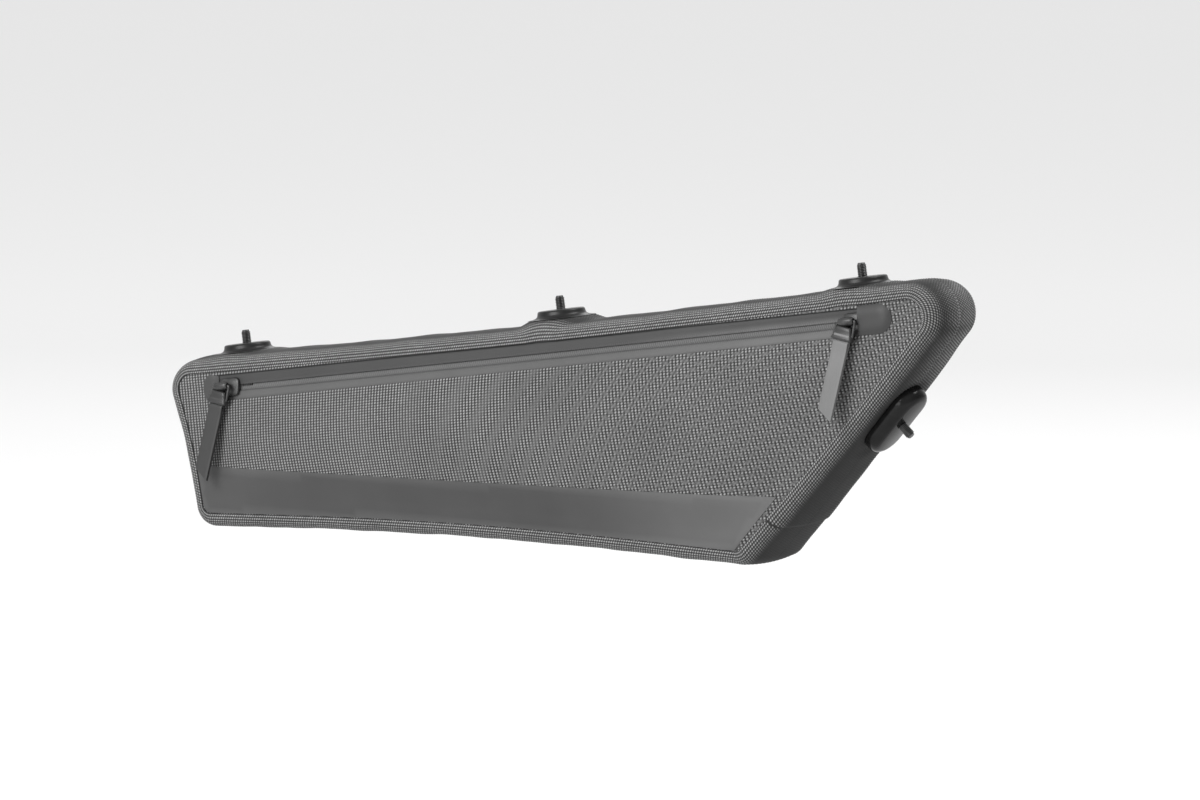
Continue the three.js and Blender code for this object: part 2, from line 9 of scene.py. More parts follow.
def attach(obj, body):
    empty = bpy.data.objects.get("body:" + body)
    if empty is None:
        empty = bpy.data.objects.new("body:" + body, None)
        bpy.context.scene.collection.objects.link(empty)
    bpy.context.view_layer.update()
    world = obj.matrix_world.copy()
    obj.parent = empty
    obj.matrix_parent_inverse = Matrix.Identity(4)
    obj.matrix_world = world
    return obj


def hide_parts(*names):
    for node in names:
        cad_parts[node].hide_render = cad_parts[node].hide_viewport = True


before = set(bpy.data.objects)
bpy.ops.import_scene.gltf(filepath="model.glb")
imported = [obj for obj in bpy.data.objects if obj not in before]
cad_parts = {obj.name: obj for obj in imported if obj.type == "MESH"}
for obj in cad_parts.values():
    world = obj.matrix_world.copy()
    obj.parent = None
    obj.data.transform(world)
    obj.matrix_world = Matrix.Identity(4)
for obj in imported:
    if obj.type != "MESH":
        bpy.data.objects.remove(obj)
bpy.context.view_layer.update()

MM = 0.001

# Camera at the photograph's viewing angle
CAMERA = {"azimuth": 34.56, "elevation": 6.68, "place": (2020.87, -2898.43, 366.69), "lens": 207.15}

# Outline of the bag in the X-Z plane, in millimetres, as in the solids
TOP_SLOPE = math.radians(8.4)
TOP_DROP = 5.8
CORNERS = [(263.4, None, 16, -2.4), (-241.9, None, 15, -1.5), (-217, -126, 12, -4), (130.5, -120, 11, 1.5)]
SMALLEST_RADIUS = 1.5
WIDTH = {"foot_z": -126, "foot_half": 27.5, "top_z": 31, "top_half": 21}
GUSSET_WALL = 1.5
SHOULDER = {"inset": 5.5, "depth": 8}
CROWN_OF_WEB = 1.2
PANEL_SINK = 2.35
PANEL_RISE = {"height": 1.5, "near": 6.5, "far": 17}
BULGE = {"height": 12, "reach": 55, "middle": -10, "half": 210, "fall": 0.55, "blend": 5}
BOSS_X = {"rear": -203.4, "middle": 0, "front": 183.6}
TOP_PAD = {"flat": 14, "foot": 25, "straight": 0, "rise": 1.5}
TUBE_PAD = {"along": 106, "flat": 13, "foot": 21, "straight": 10, "rise": 1.6}
TOP_BOSS = {"height": 4}
TUBE_BOSS = {"length": 42, "width": 22, "height": 8, "gap": 0.3}
ZIP = {"below": 15.9, "slot_half": 6.8, "rear": -214.2, "front": 213.6}
GARAGES = {
    "rear": {"end": -216.3, "length": 10.5, "half": 8, "up": 0, "side": -1},
    "front": {"end": 216.3, "length": 18.7, "half": 7.4, "up": 0.6, "side": 1},
}
SLIDERS = {"rear": -201.1, "front": 192.5}
SLIDER_AXIS = 4.2
PULL = {"tilt": math.radians(10), "skew": math.radians(17)}
BAND = {"top": -87.8, "slope": 0.028, "margin": 7.4, "slant_margin": 9.5}

# The weave: pitch of the light columns and of the dots along them
COLUMN = 1.9
DOT = 1.4


def unit(v):
    return v / np.linalg.norm(v)


def top_line(x):
    return x * math.tan(TOP_SLOPE) - TOP_DROP / math.cos(TOP_SLOPE)


def half_width(z):
    share = (z - WIDTH["foot_z"]) / (WIDTH["top_z"] - WIDTH["foot_z"])
    return WIDTH["foot_half"] + share * (WIDTH["top_half"] - WIDTH["foot_half"])


def smoothstep(x, low, high):
    t = np.clip((x - low) / (high - low), 0, 1)
    return t * t * (3 - 2 * t)


CORNER_AT = [np.array([x, top_line(x) if z is None else z]) for x, z, _, _ in CORNERS]
EDGES = []
for k, start in enumerate(CORNER_AT):
    along = unit(CORNER_AT[(k + 1) % 4] - start)
    out = np.array([along[1], -along[0]])
    EDGES.append({"start": start, "along": along, "out": out, "bow": CORNERS[k][3]})
TOP_EDGE, SLANT_EDGE = EDGES[0], EDGES[3]


def corner_round(k, inset):
    before, after = EDGES[k - 1]["out"], EDGES[k]["out"]
    radius = max(CORNERS[k][2] - inset, SMALLEST_RADIUS)
    inward = (inset + radius) / (1 + before @ after)
    return CORNER_AT[k] - inward * (before + after), radius, before, after


for k, edge in enumerate(EDGES):
    ends = [(corner_round(i, 0)[0] - edge["start"]) @ edge["along"] for i in (k, (k + 1) % 4)]
    edge["from"], edge["to"] = ends


def outline(inset, step):
    """Points of the outline moved in by inset, with outward normals and the bow of the edge at each."""
    at, out, bow = [], [], []
    for k, edge in enumerate(EDGES):
        centre, radius, before, after = corner_round(k, inset)
        first = math.atan2(before[1], before[0])
        turn = (math.atan2(after[1], after[0]) - first) % (2 * math.pi)
        count = max(int(turn * max(radius, 4) / step), 6)
        for i in range(count + 1):
            angle = first + turn * i / count
            normal = np.array([math.cos(angle), math.sin(angle)])
            at.append(centre + radius * normal)
            out.append(normal)
            bow.append(0.0)
        low = (centre - edge["start"]) @ edge["along"]
        high = (corner_round((k + 1) % 4, inset)[0] - edge["start"]) @ edge["along"]
        count = int((high - low) / step)
        for i in range(1, count):
            share = i / count
            lift = edge["bow"] * math.sin(math.pi * share)
            place = edge["start"] + edge["along"] * (low + (high - low) * share)
            at.append(place + edge["out"] * (lift - inset))
            out.append(edge["out"])
            bow.append(lift)
    return np.array(at), np.array(out), np.array(bow)


def edge_insets(p):
    """How far inside each bowed edge the points lie: one column per edge."""
    insets = []
    for edge in EDGES:
        offset = p - edge["start"]
        share = np.clip((offset @ edge["along"] - edge["from"]) / (edge["to"] - edge["from"]), 0, 1)
        insets.append(edge["bow"] * np.sin(math.pi * share) - offset @ edge["out"])
    return np.stack(insets, -1)


def inset_of(p):
    k = BULGE["blend"]
    return -k * np.log(np.exp(-edge_insets(p) / k).sum(-1))


def ripple(p):
    """Slow unevenness of the stretched cloth."""
    x, z = p[..., 0], p[..., 1]
    wave = np.sin(x / 31 + z / 47 + 0.6) * np.sin(z / 21 - x / 83 + 1.1)
    return 0.35 * wave + 0.2 * np.sin(x / 13.5 - z / 17 + 2.0) * np.sin(z / 11 + x / 39)


def face_y(p):
    """Y of the zipped face's outer surface."""
    inset = inset_of(p)
    share = np.clip((inset - SHOULDER["inset"]) / BULGE["reach"], 0, 1)
    kept = 1 - BULGE["fall"] * ((p[..., 0] - BULGE["middle"]) / BULGE["half"]) ** 2
    bulge = BULGE["height"] * kept * (1 - (1 - share) ** 2)
    settle = smoothstep(inset, SHOULDER["inset"], 25)
    rise = PANEL_RISE["height"] * (1 - smoothstep(inset, PANEL_RISE["near"], PANEL_RISE["far"]))
    return PANEL_SINK - half_width(p[..., 1]) - bulge - rise - settle * ripple(p)


def on_face(p, lift):
    """Points of the zipped face raised by lift along its normal."""
    step = 0.5
    y = face_y(p)
    dx = (face_y(p + [step, 0]) - face_y(p - [step, 0])) / (2 * step)
    dz = (face_y(p + [0, step]) - face_y(p - [0, step])) / (2 * step)
    normal = np.stack([dx, -np.ones_like(dx), dz], -1)
    normal /= np.linalg.norm(normal, axis=-1, keepdims=True)
    points = np.stack([p[..., 0], y, p[..., 1]], -1)
    return points + normal * np.asarray(lift)[..., None]


ZIP_ALONG = np.array([math.cos(TOP_SLOPE), math.sin(TOP_SLOPE)])
ZIP_UP = np.array([-math.sin(TOP_SLOPE), math.cos(TOP_SLOPE)])
ZIP_START = np.array([0, -(TOP_DROP + ZIP["below"]) / math.cos(TOP_SLOPE)])


def zip_place(along, up):
    """X-Z places on the zipped face, from distances along the zip and above its centre line."""
    return ZIP_START + np.multiply.outer(along, ZIP_ALONG) + np.multiply.outer(up, ZIP_UP)


# Materials
def node_material(name, roughness, **sockets):
    material = bpy.data.materials.new(name)
    material.use_nodes = True
    nodes, links = material.node_tree.nodes, material.node_tree.links
    shader = nodes["Principled BSDF"]
    shader.inputs["Roughness"].default_value = roughness
    for socket, value in sockets.items():
        shader.inputs[socket.replace("_", " ")].default_value = value
    return material, nodes, links, shader


def noise(nodes, links, scale, detail):
    coordinates = nodes.new("ShaderNodeTexCoord")
    texture = nodes.new("ShaderNodeTexNoise")
    texture.inputs["Scale"].default_value = scale
    texture.inputs["Detail"].default_value = detail
    links.new(coordinates.outputs["Object"], texture.inputs["Vector"])
    return texture.outputs["Fac"]


def ramp(nodes, links, source, stops):
    node = nodes.new("ShaderNodeValToRGB")
    while len(node.color_ramp.elements) < len(stops):
        node.color_ramp.elements.new(0.5)
    for element, (place, colour) in zip(node.color_ramp.elements, stops):
        element.position = place
        element.color = (*colour, 1)
    links.new(source, node.inputs["Fac"])
    return node.outputs["Color"]


def blend(nodes, links, mode, factor, a, b):
    node = nodes.new("ShaderNodeMix")
    node.data_type = "RGBA"
    node.blend_type = mode
    node.inputs["Factor"].default_value = factor
    links.new(a, node.inputs["A"])
    links.new(b, node.inputs["B"])
    return node.outputs["Result"]


def bump(nodes, links, shader, source, strength, distance):
    node = nodes.new("ShaderNodeBump")
    node.inputs["Strength"].default_value = strength
    node.inputs["Distance"].default_value = distance
    links.new(source, node.inputs["Height"])
    links.new(node.outputs["Normal"], shader.inputs["Normal"])


def grey(v):
    return (v, v, v)


def woven_cloth():
    """Two-tone cloth: the tone of each yarn comes with the mesh, light for the floats and dark between; on
    the gusset the tone also carries painted shade and light.
    """
    m, nodes, links, shader = node_material(
        "woven_cloth", 0.85, Specular_IOR_Level=0.2, Sheen_Weight=0.05, Sheen_Roughness=0.5,
    )
    tone = nodes.new("ShaderNodeAttribute")
    tone.attribute_name = "tone"
    stops = [(0.0, grey(0.014)), (0.2, grey(0.04)), (0.55, grey(0.175)), (1.0, grey(0.34))]
    yarn = ramp(nodes, links, tone.outputs["Fac"], stops)
    cast = ramp(nodes, links, noise(nodes, links, 24, 3), [(0.3, grey(0.86)), (0.7, grey(1.0))])
    links.new(blend(nodes, links, "MULTIPLY", 1.0, yarn, cast), shader.inputs["Base Color"])
    bump(nodes, links, shader, noise(nodes, links, 2600, 2), 0.35, 0.0002)
    return m


def coated_cloth(name, dark, light, roughness, grain=1500, toned=False):
    """Smooth coated cloth with faint clouding. A toned one runs from dark to light with the mesh's tone."""
    m, nodes, links, shader = node_material(name, roughness, Specular_IOR_Level=0.3)
    clouds = noise(nodes, links, 30, 4)
    if toned:
        tone = nodes.new("ShaderNodeAttribute")
        tone.attribute_name = "tone"
        base = ramp(nodes, links, tone.outputs["Fac"], [(0.0, grey(dark)), (1.0, grey(light))])
        cast = ramp(nodes, links, clouds, [(0.3, grey(0.86)), (0.7, grey(1.0))])
        colour = blend(nodes, links, "MULTIPLY", 1.0, base, cast)
    else:
        colour = ramp(nodes, links, clouds, [(0.3, grey(dark)), (0.7, grey(light))])
    links.new(colour, shader.inputs["Base Color"])
    bump(nodes, links, shader, noise(nodes, links, grain, 3), 0.25, 0.00015)
    return m


def black_metal():
    m, nodes, links, shader = node_material("black_metal", 0.34, Metallic=0.35)
    colour = ramp(nodes, links, noise(nodes, links, 260, 3), [(0.35, grey(0.02)), (0.75, grey(0.05))])
    links.new(colour, shader.inputs["Base Color"])
    bump(nodes, links, shader, noise(nodes, links, 900, 2), 0.08, 0.0001)
    return m


def black_moulding(name, roughness, shine):
    m, nodes, links, shader = node_material(name, roughness, Specular_IOR_Level=shine)
    colour = ramp(nodes, links, noise(nodes, links, 90, 3), [(0.3, grey(0.006)), (0.8, grey(0.014))])
    links.new(colour, shader.inputs["Base Color"])
    bump(nodes, links, shader, noise(nodes, links, 700, 2), 0.04, 0.0001)
    return m


CLOTH = woven_cloth()
BACKING = coated_cloth("backing_cloth", 0.035, 0.05, 0.85)
BAND_CLOTH = coated_cloth("band_cloth", 0.034, 0.088, 0.46, toned=True)
# One cloth for both tabs: the front tab's lighter copy is painted light and the rear tab's darker copy is
# painted shade.
TAB_CLOTH_LIT_AND_SHADED = {
    "rear": coated_cloth("rear_tab_cloth_painted_shade", 0.025, 0.032, 0.5),
    "front": coated_cloth("front_tab_cloth_painted_light", 0.115, 0.135, 0.46),
}
TAPE = coated_cloth("zip_tape", 0.03, 0.125, 0.5, 2200, toned=True)
PATCH = coated_cloth("zip_patch", 0.034, 0.043, 0.5, 2200)
COIL = coated_cloth("zip_coil", 0.03, 0.13, 0.6, 3000, toned=True)
COVER = coated_cloth("zip_cover", 0.027, 0.035, 0.5)
SLEEVE = coated_cloth("pull_sleeve", 0.022, 0.034, 0.3)
METAL = black_metal()
MOULDING = black_moulding("black_moulding", 0.36, 0.22)
GLOSSY_MOULDING = black_moulding("glossy_moulding", 0.15, 0.13)


# Mesh helpers: points in millimetres
def make(name, points, faces, material, slot, replaced=(), body="bag", tone=None, sharp=40):
    mesh = bpy.data.meshes.new(name)
    mesh.from_pydata((np.asarray(points, float) * MM).tolist(), [], faces)
    mesh.polygons.foreach_set("use_smooth", np.ones(len(mesh.polygons), bool))
    mesh.set_sharp_from_angle(angle=math.radians(sharp))
    if tone is not None:
        mesh.attributes.new("tone", "FLOAT", "POINT").data.foreach_set("value", np.asarray(tone, np.float32))
    mesh.materials.append(material)
    mesh.validate()
    piece = bpy.data.objects.new(name, mesh)
    bpy.context.scene.collection.objects.link(piece)
    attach(piece, body)
    if replaced:
        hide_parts(*replaced)
    return piece


def grid_faces(rows, columns, wrap_rows=False, wrap_columns=False):
    i = np.arange(rows if wrap_rows else rows - 1)
    j = np.arange(columns if wrap_columns else columns - 1)
    i, j = np.meshgrid(i, j, indexing="ij")
    i1, j1 = (i + 1) % rows, (j + 1) % columns
    quads = np.stack([i * columns + j, i1 * columns + j, i1 * columns + j1, i * columns + j1], -1)
    return quads.reshape(-1, 4).tolist()


def inside(points, loop):
    x, z = points[:, 0:1], points[:, 1:2]
    a, b = loop, np.roll(loop, -1, 0)
    crosses = (a[:, 1] > z) != (b[:, 1] > z)
    rise = np.where(b[:, 1] == a[:, 1], 1e-9, b[:, 1] - a[:, 1])
    at = (b[:, 0] - a[:, 0]) * (z - a[:, 1]) / rise + a[:, 0]
    return (crosses & (x < at)).sum(1) % 2 == 1


def distance_to(points, path, closed=True):
    a, b = (path, np.roll(path, -1, 0)) if closed else (path[:-1], path[1:])
    run = b - a
    length = np.maximum((run ** 2).sum(1), 1e-12)
    best = np.full(len(points), 1e9)
    for k in range(0, len(a), 200):
        part = slice(k, k + 200)
        offset = points[:, None] - a[part]
        t = np.clip((offset * run[part]).sum(-1) / length[part], 0, 1)
        gap = np.linalg.norm(offset - t[..., None] * run[part], axis=-1)
        best = np.minimum(best, gap.min(1))
    return best


def fill(loop, holes, spacing):
    """Even triangles over the inside of a loop, less its holes."""
    low, high = loop.min(0), loop.max(0)
    x, z = np.meshgrid(np.arange(low[0], high[0], spacing), np.arange(low[1], high[1], spacing * 0.87))
    x = x + (np.arange(len(x)) % 2)[:, None] * spacing / 2
    lattice = np.stack([x.ravel(), z.ravel()], -1)
    keep = inside(lattice, loop) & (distance_to(lattice, loop) > 0.55 * spacing)
    for hole in holes:
        keep &= ~inside(lattice, hole) & (distance_to(lattice, hole) > 0.55 * spacing)
    coordinates, edges = [], []
    for ring in [loop, *holes]:
        first = len(coordinates)
        coordinates += [Vector(p) for p in ring]
        edges += [(first + i, first + (i + 1) % len(ring)) for i in range(len(ring))]
    coordinates += [Vector(p) for p in lattice[keep]]
    points, _, faces, *_ = delaunay_2d_cdt(coordinates, edges, [], 1, 1e-6)
    points = np.array([tuple(p) for p in points])
    faces = np.array(faces)
    centres = points[faces].mean(1)
    kept = inside(centres, loop)
    for hole in holes:
        kept &= ~inside(centres, hole)
    faces = faces[kept]
    a, b, c = (points[faces[:, i]] for i in range(3))
    turn = (b[:, 0] - a[:, 0]) * (c[:, 1] - a[:, 1]) - (b[:, 1] - a[:, 1]) * (c[:, 0] - a[:, 0])
    faces[turn < 0] = faces[turn < 0][:, ::-1]
    return points, faces


def slab(name, faces, upper, lower, material, slot, replaced=(), far=False, **more):
    """Closed sheet: upper and lower points over the same flat triangles, walled at the edges."""
    count = len(upper)
    seen = {}
    for a, b, c in faces.tolist():
        for edge in ((a, b), (b, c), (c, a)):
            seen[edge] = True
    walls = [[b, a, a + count, b + count] for a, b in seen if (b, a) not in seen]
    polygons = faces.tolist() + (faces[:, ::-1] + count).tolist() + walls
    points = np.concatenate([upper, lower])
    if far:
        points = points * [1, -1, 1]
        polygons = [p[::-1] for p in polygons]
    return make(name, points, polygons, material, slot, replaced, **more)


def loft(loops):
    """Points and faces of a solid through loops of equal length, from one end to the other."""
    loops = np.asarray(loops, float)
    rows, columns = loops.shape[:2]
    faces = grid_faces(rows, columns, wrap_columns=True)
    faces.append(list(range(columns)))
    faces.append(list(range(rows * columns - 1, (rows - 1) * columns - 1, -1)))
    return loops.reshape(-1, 3), faces


def wire_ring(path, radius, sides):
    """Points and faces of a round wire along a closed path."""
    ahead = np.roll(path, -1, 0) - np.roll(path, 1, 0)
    ahead /= np.linalg.norm(ahead, axis=1, keepdims=True)
    turns = np.linspace(0, 2 * math.pi, sides, endpoint=False)
    side = np.cross(ahead[0], [0.31, 0.17, 0.93])
    loops = []
    for point, run in zip(path, ahead):
        side = unit(side - run * (side @ run))
        other = np.cross(run, side)
        loops.append(point + radius * (np.outer(np.cos(turns), side) + np.outer(np.sin(turns), other)))
    return np.concatenate(loops), grid_faces(len(path), sides, True, True)


def placed(points, matrix):
    points = np.asarray(points, float)
    return points @ matrix[:3, :3].T + matrix[:3, 3]


def basis(x, y, z, origin):
    m = np.eye(4)
    m[:3, 0], m[:3, 1], m[:3, 2], m[:3, 3] = x, y, z, origin
    return m


def joined(*parts):
    points, faces, first = [], [], 0
    for p, f in parts:
        points.append(np.asarray(p, float))
        faces += [[i + first for i in face] for face in f]
        first += len(p)
    return np.concatenate(points), faces


def outward(points, faces):
    """Faces turned so that a closed mesh faces out."""
    volume = 0.0
    for face in faces:
        a = points[face[0]]
        for i in range(1, len(face) - 1):
            volume += a @ np.cross(points[face[i]], points[face[i + 1]])
    return faces if volume > 0 else [f[::-1] for f in faces]


# Weave relief over a lattice of half pitches: first index across the columns, second along them
WEAVE = {"height": 0.42, "base": -0.04, "plain_tone": 0.375}


def scatter(i, j):
    """Even spread of numbers from 0 to 1, the same in every run."""
    value = np.sin(i * 12.9898 + j * 78.233) * 43758.5453
    return value - np.floor(value)


def weave_relief(columns, part):
    """Height and tone of each lattice point: light yarn floats in columns, low and dark between.

    The part is how far up its row a point is, from 0 to 1.
    """
    i, j = np.meshgrid(np.arange(columns), np.arange(len(part)), indexing="ij")
    off = 2 * np.abs(part - 0.5)
    light = np.where(off < 0.1, 1, np.where(off < 0.9, 0.7, 0.27))
    tone = np.where(i % 2 == 1, light, 0.05)
    return 0.15 + 0.85 * tone, tone * (0.86 + 0.28 * scatter(i, j))


def weave_bands(a, u):
    """How strongly the light floats stand out from the dark yarn: bands that cross the front of the cloth."""
    slow = np.cos(2 * math.pi * (0.05 * a + 0.00019 * a * a - 0.00057 * a * u - 0.055 * u))
    quick = np.cos(2 * math.pi * (0.00056 * a * a - 0.184 * a - 0.00055 * a * u - 0.225 * u))
    return 1 + smoothstep(a, -150, 10) * (0.55 * slow - 0.1) + 0.6 * smoothstep(a, 0, 70) * quick


def lattice_faces(keep):
    """Quads of a lattice whose four points are all kept, facing the zipped side, and the points used."""
    rows, columns = keep.shape
    whole = keep[:-1, :-1] & keep[1:, :-1] & keep[1:, 1:] & keep[:-1, 1:]
    i, j = np.nonzero(whole)
    at = i * columns + j
    quads = np.stack([at, at + columns, at + columns + 1, at + 1], -1)
    used = np.unique(quads)
    place = np.full(rows * columns, -1)
    place[used] = np.arange(len(used))
    return place[quads], used


def dense(loop, step):
    """The loop with points added along its longer sides, about a step apart."""
    points = []
    for p, q in zip(loop, np.roll(loop, -1, 0)):
        count = max(int(np.linalg.norm(q - p) / step), 1)
        points += [p + (q - p) * i / count for i in range(count)]
    return np.array(points)


def band_loop():
    """Outline of the band: the face's own edge, cut off along the band's top and beside the slanted edge."""
    at, _, _ = outline(BAND["margin"], 1.5)
    for point, normal in (
        (np.array([0, BAND["top"]]), unit(np.array([-BAND["slope"], 1]))),
        (SLANT_EDGE["start"] - BAND["slant_margin"] * SLANT_EDGE["out"], SLANT_EDGE["out"]),
    ):
        kept = []
        for p, q in zip(np.roll(at, 1, 0), at):
            dp, dq = (p - point) @ normal, (q - point) @ normal
            if (dp > 0) != (dq > 0):
                kept.append(p + (q - p) * dp / (dp - dq))
            if dq <= 0:
                kept.append(q)
        at = np.array(kept)
    return dense(np.roll(at, 1, 0), 2)


def half_circle(end, half, side, steps):
    """Round end of a strip along the zip."""
    points = []
    for k in range(steps + 1):
        angle = -math.pi / 2 + math.pi * k / steps
        x, y = side * half * math.cos(angle), side * half * math.sin(angle)
        points.append((end - side * half + x, y))
    return points


def tongue(end, length, half, side):
    """Outline along the zip with one round end and a square one."""
    square = end - side * length
    corners = [(square, side * half), (square, -side * half)]
    return dense(np.array(corners + half_circle(end, half, side, 24)), 0.8)


def to_face(strip):
    """Flat places along and above the zip as X-Z points."""
    return zip_place(strip[:, 0], strip[:, 1])


def slot_loop():
    half = ZIP["slot_half"]
    front, rear = half_circle(ZIP["front"], half, 1, 16), half_circle(ZIP["rear"], half, -1, 16)
    return to_face(dense(np.array(front + rear), 2))


# Panels
GUSSET_SIDES = ("gusset_zip_side", "gusset_far_side")
PANEL_EDGE = {"backing": 4.4, "weave": 4.9}


def panels():
    loop, _, _ = outline(PANEL_EDGE["backing"], 2.5)
    for far in (False, True):
        name = "back_panel" if far else "front_panel"
        holes = [] if far else [slot_loop()]
        flat, faces = fill(loop, holes, 5)
        outer, inner = on_face(flat, -0.2), on_face(flat, -1.0)
        backing = slab(f"{name}_backing", faces, outer, inner, BACKING, "cloth", (name,), far)
        weave = weave_panel(f"{name}_weave", far)


def weave_panel(name, far):
    """Woven side of a panel. Towards the front its columns widen and lean."""
    wider = smoothstep(np.arange(-262, 250, COLUMN / 2), -120, 80)
    along = np.cumsum(COLUMN / 2 * (1 + 0.09 * wider)) - 262
    parts = np.array([0, 0.5] if far else [0, 0.3, 0.5, 0.7])
    half = ZIP["slot_half"]
    below = -half - DOT * np.arange(75, 0, -1)
    beside = np.linspace(-half, half, 11)[:-1]
    above = half + DOT * np.arange(7)
    starts = np.concatenate([below, beside, above])
    pitch = np.append(np.diff(starts), DOT)
    up = (starts[:, None] + pitch[:, None] * parts).ravel()
    part = np.tile(parts, len(starts))
    a, u = np.meshgrid(along, up, indexing="ij")
    a = a - 0.066 * u * smoothstep(a, -80, 50)
    p = zip_place(a, u)
    keep = inside(p.reshape(-1, 2), outline(PANEL_EDGE["weave"], 1.0)[0]).reshape(p.shape[:2])
    if not far:
        end = np.clip(a, ZIP["rear"] + half, ZIP["front"] - half)
        keep &= np.hypot(a - end, u) > half - 0.05
        under_band = inside(p.reshape(-1, 2), band_loop()).reshape(keep.shape)
        under_band &= p[..., 1] < BAND["top"] + BAND["slope"] * p[..., 0] - 3
        keep &= ~(under_band & (inset_of(p) > 13))
    height, tone = weave_relief(len(along), part)
    tone = WEAVE["plain_tone"] + (tone - WEAVE["plain_tone"]) * weave_bands(a, u)
    tone = np.clip(tone, 0, 1.05) * (1 - 0.07 * smoothstep(a, -120, 60))
    quads, used = lattice_faces(keep)
    points = on_face(p.reshape(-1, 2)[used], WEAVE["base"] + WEAVE["height"] * height.ravel()[used])
    if far:
        points = points * [1, -1, 1]
        quads = quads[:, ::-1]
    return make(name, points, quads.tolist(), CLOTH, "cloth", tone=tone.ravel()[used], sharp=180)


# Gusset: its section as insets from the outline and depths behind the face
LIP = [(4.2, 0.8), (6.1, 0.68), (6.85, 0.5), (7.05, 0.25), (6.95, 0.02)]
RIM = [(6.85, -0.05), (6.2, -0.14)]
INNER_WALL = [(1.5, 8.0), (2.6, 4.6), (3.5, 2.0)]
SHOULDER_ROWS = 7
WEB_ROWS = 10
EDGE_CELLS = 740

# Where the gusset's ends lap, along the slanted edge
CROSS_SEAM = 28

PADS = []
for x in BOSS_X.values():
    offset = np.array([x, x * math.tan(TOP_SLOPE)]) - TOP_EDGE["start"]
    PADS.append({**TOP_PAD, "edge": TOP_EDGE, "at": offset @ TOP_EDGE["along"]})
PADS.append({**TUBE_PAD, "edge": SLANT_EDGE, "at": TUBE_PAD["along"]})


def cloth_points(at, out, bow, inset, y, crown):
    """Points of the gusset: places of the outline down the rows, section points along the columns."""
    moved = at[:, None] - out[:, None] * inset[..., None]
    raised = np.zeros(inset.shape)
    for pad in PADS:
        offset = at - pad["edge"]["start"]
        run = np.maximum(np.abs(offset @ pad["edge"]["along"] - pad["at"]) - pad["straight"], 0)
        across = offset @ pad["edge"]["out"] - bow
        reach = np.sqrt(run[:, None] ** 2 + across[:, None] ** 2 + y ** 2)
        share = 1 - smoothstep(reach, pad["flat"], pad["foot"])
        moved = moved + (share * (pad["rise"] - bow[:, None]))[..., None] * pad["edge"]["out"]
        raised = np.maximum(raised, share)
    moved = moved + (crown * (1 - raised))[..., None] * out[:, None]
    return np.stack([moved[..., 0], np.broadcast_to(y, inset.shape), moved[..., 1]], -1)


def even_places(cells):
    """Places of the outline at even steps: twice as many as cells."""
    at, out, bow = outline(0, 0.5)
    around = np.concatenate([at, at[:1]])
    run = np.concatenate([[0], np.cumsum(np.linalg.norm(np.diff(around, axis=0), axis=1))])
    places = np.linspace(0, run[-1], 2 * cells, endpoint=False)

    def pick(values):
        return np.interp(places, run, np.concatenate([values, values[:1]]))

    at = np.stack([pick(at[:, 0]), pick(at[:, 1])], -1)
    out = np.stack([pick(out[:, 0]), pick(out[:, 1])], -1)
    return at, out / np.linalg.norm(out, axis=1, keepdims=True), pick(bow)


def gusset_section():
    """Section of half the gusset: inset and depth of its lip and shoulder, then shares of the web's width."""
    fine = np.linspace(0, math.pi / 2, 400)
    arc = np.stack([SHOULDER["inset"] * (1 - np.sin(fine)), SHOULDER["depth"] * (1 - np.cos(fine))], -1)
    run = np.concatenate([[0], np.cumsum(np.linalg.norm(np.diff(arc, axis=0), axis=1))])
    even = np.linspace(0, run[-1], 2 * SHOULDER_ROWS + 1)
    arc = np.stack([np.interp(even, run, arc[:, k]) for k in (0, 1)], -1)
    arc[0, 1] = -0.08
    section = [(i, d, None) for i, d in [*LIP, *RIM, *arc]]
    section += [(0, None, 1 - k / (2 * WEB_ROWS)) for k in range(1, 2 * WEB_ROWS + 1)]
    last = len(section)
    section += [(0.4, None, -0.06), (GUSSET_WALL, None, -0.06)]
    section += [(i, d, None) for i, d in INNER_WALL]
    return section, len(LIP), last


def gusset_points(section, at, out, bow):
    """Points of the section at each place of the outline."""
    web_half = half_width(at[:, 1]) - SHOULDER["depth"]
    inset, y, crown = np.zeros((3, len(at), len(section)))
    for k, (i, d, share) in enumerate(section):
        inset[:, k] = i
        y[:, k] = -web_half * share if d is None else d - half_width(at[:, 1] - i * out[:, 1])
        crown[:, k] = CROWN_OF_WEB * (1 - share ** 2) if d is None else 0
    return cloth_points(at, out, bow, inset, y, crown)


def grid_normals(points):
    """Normals of a grid whose rows close on themselves."""
    ahead = np.roll(points, -1, 0) - np.roll(points, 1, 0)
    side = np.zeros_like(points)
    side[:, 1:-1] = points[:, 2:] - points[:, :-2]
    side[:, 0], side[:, -1] = points[:, 1] - points[:, 0], points[:, -1] - points[:, -2]
    normal = np.cross(ahead, side)
    return normal / np.maximum(np.linalg.norm(normal, axis=-1, keepdims=True), 1e-9)


